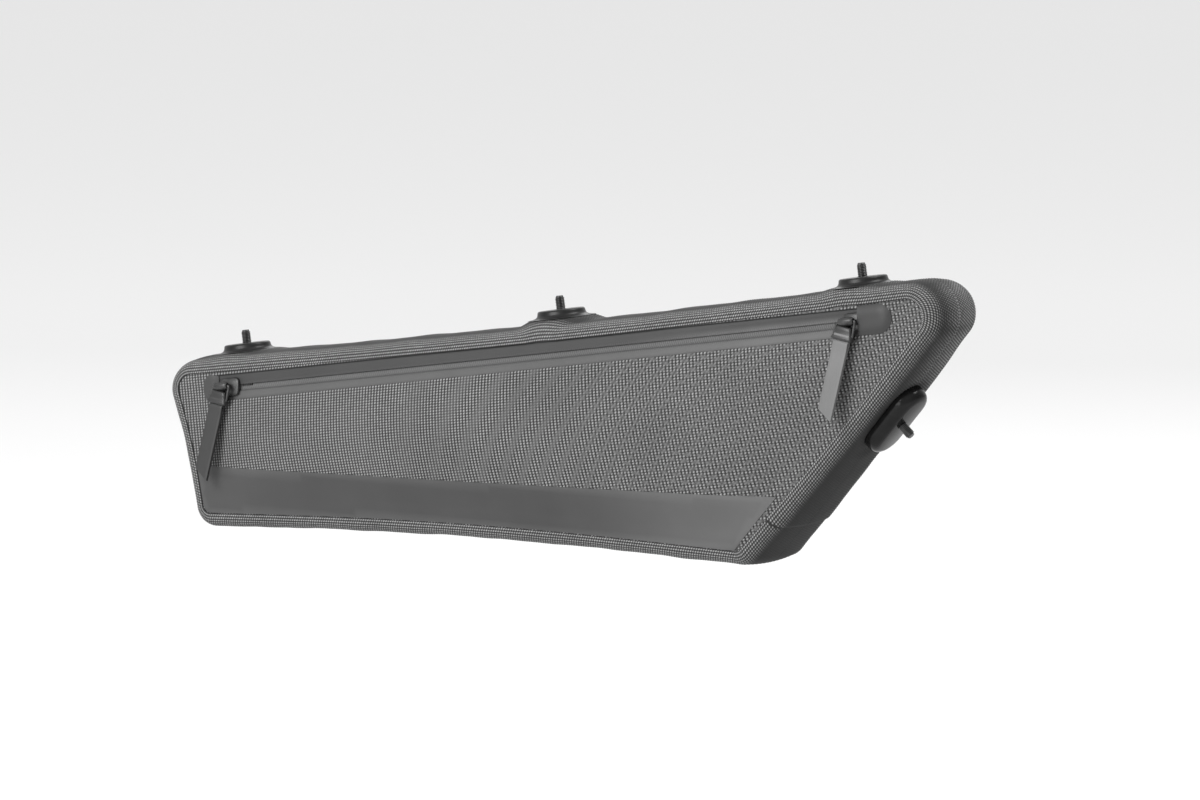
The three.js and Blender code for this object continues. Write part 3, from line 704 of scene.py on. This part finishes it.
def gusset_weave(at, out, rows, far):
    """Lift and tone of the gusset's woven rows: beads of light yarn, darker on the web, partly as darker
    cloth and partly as painted shade, with a painted shadow along the slanted edge below the nose and painted
    light on the nose.
    """
    place, row = np.meshgrid(np.arange(len(at)), np.arange(rows), indexing="ij")
    yarn = row % 2 == 1
    light = yarn & ((place + row // 2) % 2 == 0)
    height = np.where(light, 1.0, np.where(yarn, 0.6, 0.0))
    tone = np.where(light, 1.05, np.where(yarn, 0.2, 0.02)) * (0.86 + 0.28 * scatter(place, row))
    # Gap rows 4 and 10 are set fully dark: painted shade of the grooves along the border.
    tone = np.where((row == 4) | (row == 10), 0.0, tone)
    tone[:, -1] = 0.3
    slant = smoothstep(out @ SLANT_EDGE["out"], 0.8, 0.99)[:, None]
    up_slant = ((at - SLANT_EDGE["start"]) @ SLANT_EDGE["along"])[:, None]
    near_nose = smoothstep(up_slant, 95, 150)
    nose = (smoothstep(out[:, 0], 0.3, 0.8) * smoothstep(out[:, 1], -0.55, -0.1))[:, None]
    nose = np.maximum(nose, 0.5 * slant * near_nose)
    web, middle = smoothstep(row, 8, 19), smoothstep(row, 14, rows)
    # The web is a darker cloth than the rows; on top of that, painted shade keeps it darker on the zip side
    # than towards the far side.
    kept = 0.62 - 0.2 * middle if far else 0.16 + 0.3 * middle
    # Painted shadow of the down tube along the slanted edge, fading near the nose, and painted light on the
    # nose and the top of the slant.
    kept = np.minimum(kept * (1 - 0.6 * slant * (1 - near_nose)) * (1 + 1.1 * nose), 1.0)
    from_seam = up_slant - CROSS_SEAM
    lap = slant * smoothstep(from_seam, -0.6, 0.2) * (1 - smoothstep(from_seam, 1, 16))
    tone = tone * (1 - 0.85 * slant * (np.abs(from_seam + 0.5) < 0.55))
    angle = place * (2 * math.pi / len(at))
    wobble = 0.26 * np.sin(19 * angle + 1.3) * np.sin(7 * angle)
    wobble += 0.12 * np.sin(43 * angle + 0.4) * np.sin(11 * angle + 2)
    lift = WEAVE["height"] * height + wobble * smoothstep(row, 0, 10) + 0.7 * lap
    return lift, tone * (1 - web * (1 - kept))


def gusset_half(far):
    """Half of the gusset, from one face's lip to the middle of the web, woven in rows along the edge."""
    at, out, bow = even_places(EDGE_CELLS)
    section, first, last = gusset_section()
    points = gusset_points(section, at, out, bow)
    normal = grid_normals(points)
    if normal[0, last - 4] @ np.array([out[0, 0], 0, out[0, 1]]) < 0:
        normal = -normal
    lift, tone = np.zeros(points.shape[:2]), np.full(points.shape[:2], 0.06)
    lift[:, first:last], tone[:, first:last] = gusset_weave(at, out, last - first, far)
    raised = (points + normal * lift[..., None]).reshape(-1, 3)
    if far:
        raised = raised * [1, -1, 1]
    faces = np.array(grid_faces(len(at), len(section), True, True))
    a, b, c, d = (raised[faces[:, k]] for k in range(4))
    if (a * np.cross(b, c)).sum() + (a * np.cross(c, d)).sum() < 0:
        faces = faces[:, ::-1]
    piece = make(
        GUSSET_SIDES[far], raised, faces.tolist(), CLOTH, "cloth", ("gusset",), tone=tone.ravel(), sharp=80,
    )


# Band
def band():
    loop = band_loop()
    flat, faces = fill(loop, [], 4)
    gap = distance_to(flat, loop)
    # Painted sheen: the band is lighter towards its front end and a little towards its rear end; the lighter
    # rim along its edge is a painted highlight.
    sheen = 0.12 + 0.75 * smoothstep(flat[:, 0], 10, 135) + 0.15 * smoothstep(-flat[:, 0], 120, 200)
    tone = sheen + 0.35 * (1 - smoothstep(gap, 0.2, 0.9))
    upper = on_face(flat, 0.5 + 0.5 * smoothstep(gap, 0, 1.3))
    piece = slab(
        "base_band_cloth", faces, upper, on_face(flat, 0.1), BAND_CLOTH, "coated", ("base_band",),
        tone=np.concatenate([tone, tone]),
    )


# Zip: sections of its tapes as heights above the centre line and depths below the face
COIL_PITCH = 1.25
UPPER_TAPE = [
    (8.2, 1.35), (6.9, 1.1), (6.2, 0.9), (5.0, 0.95), (4.2, 1.05), (3.4, 1.12),
    (2.7, 1.2), (2.1, 1.26), (1.6, 1.3), (1.15, 1.15), (0.9, 1.3),
]
LOWER_TAPE = [
    (-1.9, 1.75), (-2.2, 1.35), (-2.6, 1.12), (-3.1, 1.05), (-3.6, 1.0),
    (-4.2, 0.95), (-5.0, 0.9), (-6.2, 0.85), (-6.9, 1.1), (-8.2, 1.35),
]


def zip_strip(name, section, replaced, upper, step=0.25, thickness=0.5):
    """Tape along the zip, with the print of the coil along its inner edge."""
    section = np.array(section, float)
    along = np.arange(ZIP["rear"] + 1, ZIP["front"] - 1, step)
    a, u = np.meshgrid(along, section[:, 0], indexing="ij")
    p = zip_place(a, u)
    print_of_coil = 1 - smoothstep(np.abs(u + 0.4), 1.6, 4.6)
    ridge = 0.5 + 0.5 * np.cos(2 * math.pi * (a / COIL_PITCH + 0.3 * np.abs(u)))
    top = on_face(p, 0.16 * ridge * print_of_coil - section[:, 1])
    under = on_face(p[:, ::-1], -(section[::-1, 1] + thickness)[None, :].repeat(len(along), 0))
    # Painted shade and light: the upper tape is darkened as it faces down, save for a strip by the coil that
    # lightens towards the front; the lower tape is lightened as it faces up.
    front = smoothstep(a, 40, 150)
    base = 0.08 + 0.55 * front * (1 - smoothstep(u, 1.5, 4.2)) if upper else 0.5 + 0.15 * front
    # The troughs of the coil's print are darkened: painted shade.
    tone = base * (1 - 0.45 * print_of_coil * (1 - ridge))
    points, faces = loft(np.concatenate([top, under], 1))
    tone = np.concatenate([tone, tone[:, ::-1]], 1)
    make(name, points, outward(points, faces), TAPE, "tape", replaced, tone=tone.ravel())


def zip_coil():
    along = np.arange(ZIP["rear"] + 4, ZIP["front"] - 4, 0.25)
    up = np.linspace(1.5, -2.4, 9)
    a, u = np.meshgrid(along, up, indexing="ij")
    p = zip_place(a, u)
    ridge = 0.5 + 0.5 * np.cos(2 * math.pi * (a / COIL_PITCH + u * 0.3))
    crown = np.clip(1 - ((u + 0.45) / 2.1) ** 2, 0, 1)
    top = on_face(p, 0.4 * crown + 0.3 * ridge * crown - 2.25)
    under = on_face(p[:, ::-1], np.full(p.shape[:2], -3.2))
    # Lighter on the crests of the coil's rows and along its crown, darker in the troughs: painted highlight
    # and shade on its relief; the underside is a flat tone.
    tone = np.concatenate([0.25 + 0.6 * ridge * crown, np.full(p.shape[:2], 0.2)], 1)
    points, faces = loft(np.concatenate([top, under], 1))
    faces = outward(points, faces)
    make("zip_coil_rows", points, faces, COIL, "tape", ("zip_coil",), tone=tone.ravel(), sharp=60)


def open_teeth():
    """Ends of the coil that show in the slit beside the rear slider."""
    parts = []
    for k in range(7):
        at = SLIDERS["rear"] + 9.6 + 1.15 * k
        ring = []
        for height, scale in ((-1.9, 1.0), (-1.1, 1.0), (-0.85, 0.6)):
            loop = rounded(0.38 * scale, 0.55 * scale, 0.25 * scale, 2) + [at, 0.55]
            ring.append(on_face(to_face(loop), np.full(len(loop), height)))
        points, faces = loft(ring)
        parts.append((points, outward(points, faces)))
    points, faces = joined(*parts)
    make("zip_teeth_open", points, faces, METAL, "tape")


def garage(end):
    """Cover over one end of the zip: a flat patch at the rear, a domed tongue at the front."""
    shape = GARAGES[end]
    loop = tongue(shape["end"], shape["length"], shape["half"], shape["side"]) + [0, shape["up"]]
    flat, faces = fill(loop, [], 1.6)
    square = shape["end"] - shape["side"] * shape["length"]
    sewn = loop[np.abs(loop[:, 0] - square) > 0.01]
    gap = distance_to(flat, sewn, closed=False)
    place = to_face(flat)
    if end == "rear":
        lift = 0.35 + 0.35 * smoothstep(gap, 0, 1.6) - 1.1 * smoothstep(flat[:, 0], square - 5, square)
        lower = on_face(place, lift - 0.8)
        material = PATCH
    else:
        room = 1 - (1 - np.clip(gap / 6.5, 0, 1)) ** 2.4
        lift = 0.35 + 1.9 * room
        lower = on_face(place, np.maximum(lift - 0.9, -0.4))
        material = COVER
    name = f"zip_garage_{end}"
    piece = slab(f"{name}_cover", faces, on_face(place, lift), lower, material, "coated", (name,))


def slider_frame(at):
    place = zip_place(at, 0.0)
    up_y = plain_face_y(zip_place(at, 1.0)) - plain_face_y(zip_place(at, -1.0))
    along = np.array([ZIP_ALONG[0], 0, ZIP_ALONG[1]])
    up = unit(np.array([ZIP_UP[0], up_y / 2, ZIP_UP[1]]))
    return basis(along, up, np.cross(along, up), [place[0], plain_face_y(place), place[1]])


def plain_face_y(p):
    """The zipped face as the solids have it, where the sliders sit."""
    inset = min(-(p - edge["start"]) @ edge["out"] for edge in EDGES)
    share = min(max((inset - SHOULDER["inset"]) / BULGE["reach"], 0), 1)
    kept = 1 - BULGE["fall"] * ((p[0] - BULGE["middle"]) / BULGE["half"]) ** 2
    return PANEL_SINK - half_width(p[1]) - BULGE["height"] * kept * (1 - (1 - share) ** 2)


def pull_frame(at):
    origin = placed([[0, 0, SLIDER_AXIS]], slider_frame(at))[0]
    along = np.array([ZIP_ALONG[0], 0, ZIP_ALONG[1]])
    s, c = math.sin(PULL["tilt"]), math.cos(PULL["tilt"])
    up = np.array([c * ZIP_UP[0], s, c * ZIP_UP[1]])
    return basis(along, up, np.cross(along, up), origin)


def rounded(half_x, half_y, corner, steps=6):
    points = []
    for k, (sx, sy) in enumerate(((1, -1), (1, 1), (-1, 1), (-1, -1))):
        for i in range(steps + 1):
            angle = (k - 1) * math.pi / 2 + (math.pi / 2) * i / steps
            x = sx * (half_x - corner) + corner * math.cos(angle)
            y = sy * (half_y - corner) + corner * math.sin(angle)
            points.append((x, y))
    return np.array(points)


def stack(levels, outline_of):
    loops = []
    for height, inset in levels:
        flat = outline_of(inset)
        loops.append(np.concatenate([flat, np.full((len(flat), 1), height)], 1))
    return loft(loops)


BARREL = [
    (-4.3, 1.1), (-4.3, 1.5), (-3.9, 1.85), (-2.6, 2.15), (0, 2.25),
    (2.6, 2.15), (3.9, 1.85), (4.3, 1.5), (4.3, 1.1),
]


def slider(end):
    """Rounded plate with two posts and the hollow barrel that the pull's wire turns in."""
    plate = stack(
        [(-1.0, 0.5), (-0.8, 0.1), (-0.4, 0.0), (0.5, 0.0), (0.9, 0.2), (1.1, 0.6)],
        lambda inset: rounded(6.5 - inset, 4.8 - inset, 2.5 - inset * 0.5) + [2.5, 0],
    )
    turns = np.linspace(0, 2 * math.pi, 28, endpoint=False)
    loops = [[(x, r * math.cos(t), SLIDER_AXIS + r * math.sin(t)) for t in turns] for x, r in BARREL]
    barrel = np.array(loops).reshape(-1, 3), grid_faces(len(BARREL), len(turns), True, True)
    solids = [plate, barrel]
    for x in (-2.7, 2.7):
        solids.append(stack(
            [(0.6, -0.5), (1.15, -0.25), (1.6, 0), (2.75, 0)],
            lambda inset: rounded(1.0 - inset, 0.95 - inset, 0.4) + [x, 0],
        ))
    points, faces = joined(*[(p, outward(p, f)) for p, f in solids])
    points = placed(points, slider_frame(SLIDERS[end]))
    make(f"slider_{end}_body", points, faces, METAL, "metal", (f"slider_{end}",))


BAIL = {"wire": 0.7, "top_half": 5.3, "foot_half": 5.7, "drop": 7.3, "corner": 1.6}
TAB = {"width": 9.0, "length": 43.0, "ply": 0.85, "bore": 1.05, "neck": 3.4, "tip_cut": 5.2}


def bail_foot():
    return np.array([-BAIL["drop"] * math.sin(PULL["skew"]), -BAIL["drop"] * math.cos(PULL["skew"])])


def tab_turn():
    """From the bail's frame to the tab's, at the middle of the bail's lower bar."""
    turn = np.eye(4)
    s, c = math.sin(-PULL["skew"]), math.cos(-PULL["skew"])
    turn[:2, :2] = [[c, -s], [s, c]]
    turn[:2, 3] = bail_foot()
    return turn


def bail(end):
    """Ring of wire from the slider's barrel to the tab's fold, with its lower bar turned by the skew."""
    lower = np.array([math.cos(PULL["skew"]), -math.sin(PULL["skew"])]) * BAIL["foot_half"]
    foot = bail_foot()
    corners = [np.array([BAIL["top_half"], 0]), np.array([-BAIL["top_half"], 0]), foot - lower, foot + lower]
    path = []
    for k, corner in enumerate(corners):
        before, after = unit(corners[k - 1] - corner), unit(corners[(k + 1) % 4] - corner)
        a, b = corner + before * BAIL["corner"], corner + after * BAIL["corner"]
        for t in np.linspace(0, 1, 7):
            path.append((1 - t) ** 2 * a + 2 * t * (1 - t) * corner + t * t * b)
        for t in np.linspace(0, 1, 6)[1:-1]:
            path.append(b + (corners[(k + 1) % 4] - after * BAIL["corner"] - b) * t)
    path = np.array([(x, y, 0) for x, y in path])
    points, faces = wire_ring(path, BAIL["wire"], 12)
    faces = outward(points, faces)
    points = placed(points, pull_frame(SLIDERS[end]))
    make(f"pull_bail_{end}_wire", points, faces, METAL, "metal", (f"pull_bail_{end}",), f"{end}_puller")


def tab(end):
    """A strip folded round the bail's lower bar, both plies running down to a slanted tip."""
    ply, width, neck = TAB["ply"], TAB["width"], TAB["neck"]
    middle = TAB["bore"] + ply / 2
    straight = np.linspace(1, 0, 26) ** 1.3
    stations = [(-ply / 2 - 0.04, t) for t in straight]
    stations += [(None, -0.35 * math.pi + k * (1.7 * math.pi) / 18) for k in range(1, 18)]
    stations += [(ply / 2 + 0.04, t) for t in straight[::-1]]
    across = np.array([-1, -0.985, -0.94, -0.6, 0, 0.6, 0.94, 0.985, 1]) * width / 2
    edge = np.array([0.3, 0.75, 1, 1, 1, 1, 1, 0.75, 0.3])
    centre = np.zeros((len(stations), len(across), 3))
    for k, (side, t) in enumerate(stations):
        for i, w in enumerate(across):
            if side is None:
                centre[k, i] = (w, middle * math.sin(t), middle * math.cos(t))
                continue
            reach = TAB["length"] - TAB["tip_cut"] * (0.5 - w / width)
            y = -neck - (reach - neck) * t
            open_share = math.exp(-((neck + y) / 3.0) ** 2) if y > -12 else 0
            centre[k, i] = (w, y, side + np.sign(side) * 0.45 * open_share)
    ahead = np.zeros_like(centre)
    ahead[1:-1] = centre[2:] - centre[:-2]
    ahead[0], ahead[-1] = centre[1] - centre[0], centre[-1] - centre[-2]
    ahead /= np.maximum(np.linalg.norm(ahead, axis=-1, keepdims=True), 1e-9)
    normal = np.cross(ahead, np.array([1.0, 0, 0]))
    normal /= np.maximum(np.linalg.norm(normal, axis=-1, keepdims=True), 1e-9)
    thick = (ply / 2 * edge)[None, :, None]
    loops = np.concatenate([centre + normal * thick, (centre - normal * thick)[:, ::-1]], 1)
    points, faces = loft(loops)
    faces = outward(points, faces)
    points = placed(points, pull_frame(SLIDERS[end]) @ tab_turn())
    name = f"pull_tab_{end}"
    make(f"{name}_strip", points, faces, TAB_CLOTH_LIT_AND_SHADED[end], "coated", (name,), f"{end}_puller")


def sleeve(end):
    """Clip that holds the tab's fold on the bail, wider towards its foot and rolled at both edges."""
    stations = (
        (4.5, 3.3, 0.7), (4.3, 3.9, 1.35), (3.7, 4.3, 1.75), (2.2, 4.75, 1.6), (0.2, 5.3, 1.7),
        (-1.2, 5.8, 1.95), (-2.0, 6.1, 2.2), (-2.5, 6.0, 1.9), (-2.75, 5.5, 1.2),
    )
    loops = []
    for y, half, thick in stations:
        flat = rounded(half, thick, min(thick * 0.7, 1.0), 4)
        loops.append([(x, y + 0.02 * x * x, z) for x, z in flat])
    points, faces = loft(loops)
    faces = outward(points, faces)
    points = placed(points, pull_frame(SLIDERS[end]) @ tab_turn())
    make(f"pull_sleeve_{end}", points, faces, SLEEVE, "coated", body=f"{end}_puller", sharp=80)


# Bosses and bolts
def seat_frames():
    """Frames of the bosses' seats: along the edge, across the bag and outward."""
    frames = {}
    for name, x in BOSS_X.items():
        frames[name] = seat_frame([x, 0, x * math.tan(TOP_SLOPE)], TOP_EDGE)
    rise = TUBE_PAD["rise"] + TUBE_BOSS["gap"] + TUBE_BOSS["height"]
    at = SLANT_EDGE["start"] + SLANT_EDGE["along"] * TUBE_PAD["along"] + SLANT_EDGE["out"] * rise
    frames["down_tube"] = seat_frame([at[0], 0, at[1]], SLANT_EDGE)
    return frames


def seat_frame(origin, edge):
    along = np.array([edge["along"][0], 0, edge["along"][1]])
    out = np.array([edge["out"][0], 0, edge["out"][1]])
    return basis(along, np.cross(out, along), out, origin)


BOSS_PROFILE = [
    (2.9, -3.9), (2.9, -0.5), (3.3, -0.05), (10.6, 0.0), (11.5, -0.12), (12.1, -0.5), (12.35, -1.1),
    (12.5, -2.0), (12.9, -2.9), (13.7, -3.55), (15.0, -3.95), (16.6, -4.15), (17.6, -4.3), (17.7, -4.45),
    (14.0, -4.25),
]


def circle(radius, z, turns):
    return [(radius * math.cos(t), radius * math.sin(t), z) for t in turns]


def top_boss(end, matrix):
    turns = np.linspace(0, 2 * math.pi, 72, endpoint=False)
    points = np.array([circle(r, z, turns) for r, z in BOSS_PROFILE]).reshape(-1, 3)
    faces = outward(points, grid_faces(len(BOSS_PROFILE), len(turns), True, True))
    name = f"top_boss_{end}"
    make(f"{name}_moulding", placed(points, matrix), faces, MOULDING, "moulding", (name,))


def oblong(inset, steps=24):
    radius = TUBE_BOSS["width"] / 2 - inset
    straight = (TUBE_BOSS["length"] - TUBE_BOSS["width"]) / 2
    points = []
    for end in (1, -1):
        for k in range(steps + 1):
            angle = math.pi * k / steps - end * math.pi / 2
            points.append((end * straight + radius * math.cos(angle), radius * math.sin(angle)))
    return np.array(points)


def tube_boss(matrix):
    levels = [
        (-8.0, 0.15), (-7.8, 0.0), (-5.4, 0.0), (-4.2, 0.12), (-2.9, 0.45),
        (-1.8, 1.0), (-0.9, 1.8), (-0.3, 2.8), (0.0, 4.2),
    ]
    points, faces = stack(levels, oblong)
    faces = outward(points, faces)
    points = placed(points, matrix)
    make("down_tube_boss_moulding", points, faces, GLOSSY_MOULDING, "moulding", ("down_tube_boss",), sharp=70)


BOLT = {"radius": 2.5, "pitch": 0.8, "groove": 0.42, "stands": 7.0, "tip": 1.7}


def bolt(end, matrix, deep):
    """Threaded shank that stands out of the seat, on a plain head inside the bag."""
    radius, pitch = BOLT["radius"], BOLT["pitch"]
    turns = np.linspace(0, 2 * math.pi, 24, endpoint=False)
    head = -(deep + GUSSET_WALL + 0.6)
    profile = [
        (0.02, head - 3), (4.3, head - 3), (4.5, head - 2.8), (4.5, head - 0.2), (4.3, head), (radius, head),
    ]
    loops = [circle(r, z, turns) for r, z in profile]
    for z in np.arange(head + 0.4, 6.4, pitch / 4):
        shank = radius * (0.75 + 0.25 * min(1.0, (6.9 - z) / 1.2))
        row = []
        for t in turns:
            phase = (z / pitch - t / (2 * math.pi)) % 1
            r = shank - (BOLT["groove"] * abs(2 * phase - 1) if z > -deep + 1 else 0)
            row.append((r * math.cos(t), r * math.sin(t), z))
        loops.append(row)
    loops.append(circle(BOLT["tip"], BOLT["stands"], turns))
    points, faces = loft(loops)
    faces = outward(points, faces)
    make(f"bolt_{end}_thread", placed(points, matrix), faces, METAL, "metal", (f"bolt_{end}",), sharp=50)


for far in (False, True):
    gusset_half(far)
panels()
band()
zip_strip("zip_tape_upper_strip", UPPER_TAPE, ("zip_tape_upper",), True)
zip_strip("zip_tape_lower_strip", LOWER_TAPE, ("zip_tape_lower",), False)
zip_coil()
open_teeth()
for end in ("rear", "front"):
    garage(end)
    slider(end)
    bail(end)
    tab(end)
    sleeve(end)
for end, matrix in seat_frames().items():
    if end == "down_tube":
        tube_boss(matrix)
        bolt(end, matrix, TUBE_BOSS["height"])
    else:
        top_boss(end, matrix)
        bolt(end, matrix, TOP_BOSS["height"])


# Camera, floor and light
def camera():
    a, e = math.radians(CAMERA["azimuth"]), math.radians(CAMERA["elevation"])
    back = Vector((math.sin(a) * math.cos(e), -math.cos(a) * math.cos(e), math.sin(e)))
    right = Vector((math.cos(a), math.sin(a), 0))
    up = back.cross(right)
    data = bpy.data.cameras.new("camera")
    data.sensor_width = 36
    data.lens = CAMERA["lens"]
    data.clip_end = 100
    eye = bpy.data.objects.new("camera", data)
    place = Matrix.Translation(Vector(CAMERA["place"]) * MM)
    eye.matrix_world = place @ Matrix((right, up, back)).transposed().to_4x4()
    bpy.context.scene.collection.objects.link(eye)
    bpy.context.scene.camera = eye


def floor():
    mesh = bpy.data.meshes.new("floor")
    size, z = 30.0, -0.42
    corners = [(-size, -size, z), (size, -size, z), (size, size, z), (-size, size, z)]
    mesh.from_pydata(corners, [], [(0, 1, 2, 3)])
    m, nodes, links, shader = node_material("floor", 0.9)
    place = nodes.new("ShaderNodeTexCoord")
    reach = nodes.new("ShaderNodeVectorMath")
    reach.operation = "LENGTH"
    links.new(place.outputs["Object"], reach.inputs[0])
    # Darker near the bag and paler far off: painted shade around the bag, which also dims the light the floor
    # bounces onto the bag's underside.
    pale = nodes.new("ShaderNodeMapRange")
    pale.interpolation_type = "SMOOTHSTEP"
    for socket, value in (("From Min", 0.3), ("From Max", 4.5), ("To Min", 0.68), ("To Max", 0.97)):
        pale.inputs[socket].default_value = value
    links.new(reach.outputs["Value"], pale.inputs["Value"])
    links.new(pale.outputs["Result"], shader.inputs["Base Color"])
    mesh.materials.append(m)
    plane = bpy.data.objects.new("floor", mesh)
    bpy.context.scene.collection.objects.link(plane)


def area_light(name, place, target, size, power):
    data = bpy.data.lights.new(name, "AREA")
    data.shape = "RECTANGLE"
    data.size, data.size_y = size
    data.energy = power
    light = bpy.data.objects.new(name, data)
    light.location = place
    light.rotation_euler = (Vector(target) - Vector(place)).to_track_quat("-Z", "Y").to_euler()
    bpy.context.scene.collection.objects.link(light)


def lights():
    world = bpy.data.worlds.new("studio")
    world.use_nodes = True
    nodes, links = world.node_tree.nodes, world.node_tree.links
    direction = nodes.new("ShaderNodeTexCoord")
    side = nodes.new("ShaderNodeVectorMath")
    side.operation = "DOT_PRODUCT"
    side.inputs[1].default_value = (0.9, 0.1, -0.4)
    links.new(direction.outputs["Generated"], side.inputs[0])
    shade = nodes.new("ShaderNodeMapRange")
    shade.interpolation_type = "SMOOTHSTEP"
    for socket, value in (("From Min", 0.1), ("From Max", 0.8), ("To Min", 0.86), ("To Max", 0.25)):
        shade.inputs[socket].default_value = value
    links.new(side.outputs["Value"], shade.inputs["Value"])
    links.new(shade.outputs["Result"], nodes["Background"].inputs["Strength"])
    nodes["Background"].inputs["Color"].default_value = (1, 1, 1, 1)
    bpy.context.scene.world = world
    area_light("key", (-0.5, -2.4, 1.5), (0, 0, -0.05), (1.6, 1.2), 74)
    area_light("sheen", (-0.35, -2.6, 0.15), (0.1, 0, -0.05), (1.2, 0.8), 14)
    area_light("rim", (1.3, 0.7, 2.2), (0.2, 0, 0), (1.2, 1.2), 44)
    area_light("back", (-1.2, 2.4, 1.3), (0, 0, -0.05), (1.6, 1.2), 12)


camera()
floor()
lights()
bpy.context.scene.view_settings.view_transform = "Standard"
